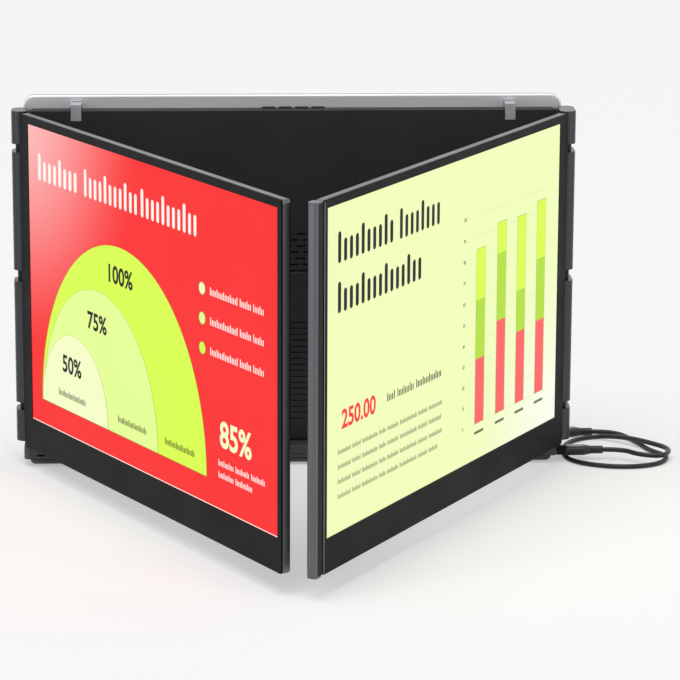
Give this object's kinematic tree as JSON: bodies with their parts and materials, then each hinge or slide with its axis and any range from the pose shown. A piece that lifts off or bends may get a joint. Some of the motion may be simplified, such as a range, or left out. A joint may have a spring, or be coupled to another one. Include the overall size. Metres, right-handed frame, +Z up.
{
  "type": "laptop screen extender",
  "caption": "Laptop screen extender: two lit display wings on two-axis spine hinges at the sides of a lid bracket with clips, kickstand, foot and cable.",
  "frame": {"origin": "middle of the underside of the rubber pad under the foot, level with the bracket-side hinge axes front to back", "axes": "+X along the bracket to the side with the cable, -Y the side the kickstand opens to, +Z up"},
  "size_m": [0.4782, 0.402, 0.2682],
  "materials": {
    "black_plastic": "fine matte moulded plastic",
    "wing_metal": "dark grey anodised, bead blasted",
    "bezel_black": "satin black",
    "silver_metal": "silver anodised, bead blasted",
    "foot_grey": "satin dark grey",
    "hinge_grey": "dark grey anodised",
    "hinge_steel": "blackened",
    "pin_steel": "ground",
    "screen_left": "matte screen, lit",
    "screen_right": "matte screen, lit",
    "backlight_white": "plain",
    "board_green": "solder mask",
    "clip_grey": "translucent grey",
    "pad_rubber": "matte",
    "cable_black": "matte",
    "plug_grey": "satin",
    "button_grey": "satin"
  },
  "bodies": {
    "bracket": {"front_panel": "black_plastic", "rear_cover": "black_plastic", "back_plate": "silver_metal", "main_board": "board_green", "bracket_knuckles_left": "hinge_steel", "bracket_knuckles_right": "hinge_steel", "foot_rail": "foot_grey", "foot_base": "foot_grey", "foot_pad": "pad_rubber", "usb_socket": "pin_steel", "kickstand_pin": "pin_steel", "cable": "cable_black", "seated_plug_tongue": "pin_steel", "seated_plug_collar": "bezel_black", "seated_plug": "plug_grey", "loose_plug_tongue": "pin_steel", "loose_plug_collar": "bezel_black", "loose_plug": "plug_grey"},
    "stand": {"kickstand": "black_plastic", "kickstand_pad": "pad_rubber"},
    "clip_left": {"lid_clip_left": "clip_grey", "clip_pad_left": "pad_rubber"},
    "hinge_left": {"spine_left": "hinge_grey", "spine_caps_left": "hinge_grey", "bracket_pin_left": "pin_steel", "wing_pin_left": "pin_steel"},
    "wing_left": {"front_bezel_left": "bezel_black", "back_shell_left": "wing_metal", "display_panel_left": "screen_left", "backlight_left": "backlight_white", "driver_board_left": "board_green", "wing_knuckles_left": "hinge_steel"},
    "power_key_left": {"power_button_left": "button_grey"},
    "menu_key_left": {"menu_button_left": "button_grey"},
    "clip_right": {"lid_clip_right": "clip_grey", "clip_pad_right": "pad_rubber"},
    "hinge_right": {"spine_right": "hinge_grey", "spine_caps_right": "hinge_grey", "bracket_pin_right": "pin_steel", "wing_pin_right": "pin_steel"},
    "wing_right": {"front_bezel_right": "bezel_black", "back_shell_right": "wing_metal", "display_panel_right": "screen_right", "backlight_right": "backlight_white", "driver_board_right": "board_green", "wing_knuckles_right": "hinge_steel", "end_grip_right": "wing_metal"},
    "power_key_right": {"power_button_right": "button_grey"},
    "menu_key_right": {"menu_button_right": "button_grey"}
  },
  "joints": [
    {"name": "kickstand_swing", "type": "hinge", "parent": "bracket", "child": "stand", "pos_m": [0, -0.0011, 0.1396], "axis": [-1, 0, 0], "range_deg": [0, 60]},
    {"name": "clip_left_slide", "type": "slide", "parent": "bracket", "child": "clip_left", "axis": [0, -1, 0], "range_m": [0, 0.0038]},
    {"name": "spine_left_swing", "type": "hinge", "parent": "bracket", "child": "hinge_left", "pos_m": [-0.1953, 0, 0.14], "axis": [0, 0, -1], "range_deg": [0, 90]},
    {"name": "wing_left_swing", "type": "hinge", "parent": "hinge_left", "child": "wing_left", "pos_m": [-0.1953, -0.0065, 0.14], "axis": [0, 0, -1], "range_deg": [0, 119.3]},
    {"name": "power_button_left_press", "type": "slide", "parent": "wing_left", "child": "power_key_left", "axis": [0, 0, 1], "range_m": [0, 0.0006], "stiffness_N_per_m": 900, "springref_m": -0.0006},
    {"name": "menu_button_left_press", "type": "slide", "parent": "wing_left", "child": "menu_key_left", "axis": [0, 0, 1], "range_m": [0, 0.0006], "stiffness_N_per_m": 900, "springref_m": -0.0006},
    {"name": "clip_right_slide", "type": "slide", "parent": "bracket", "child": "clip_right", "axis": [0, -1, 0], "range_m": [0, 0.0038]},
    {"name": "spine_right_swing", "type": "hinge", "parent": "bracket", "child": "hinge_right", "pos_m": [0.1953, 0, 0.14], "axis": [0, 0, 1], "range_deg": [0, 90]},
    {"name": "wing_right_swing", "type": "hinge", "parent": "hinge_right", "child": "wing_right", "pos_m": [0.1953, -0.0141, 0.14], "axis": [0, 0, 1], "range_deg": [0, 120.9]},
    {"name": "power_button_right_press", "type": "slide", "parent": "wing_right", "child": "power_key_right", "axis": [0, 0, 1], "range_m": [0, 0.0006], "stiffness_N_per_m": 900, "springref_m": -0.0006},
    {"name": "menu_button_right_press", "type": "slide", "parent": "wing_right", "child": "menu_key_right", "axis": [0, 0, 1], "range_m": [0, 0.0006], "stiffness_N_per_m": 900, "springref_m": -0.0006}
  ]
}
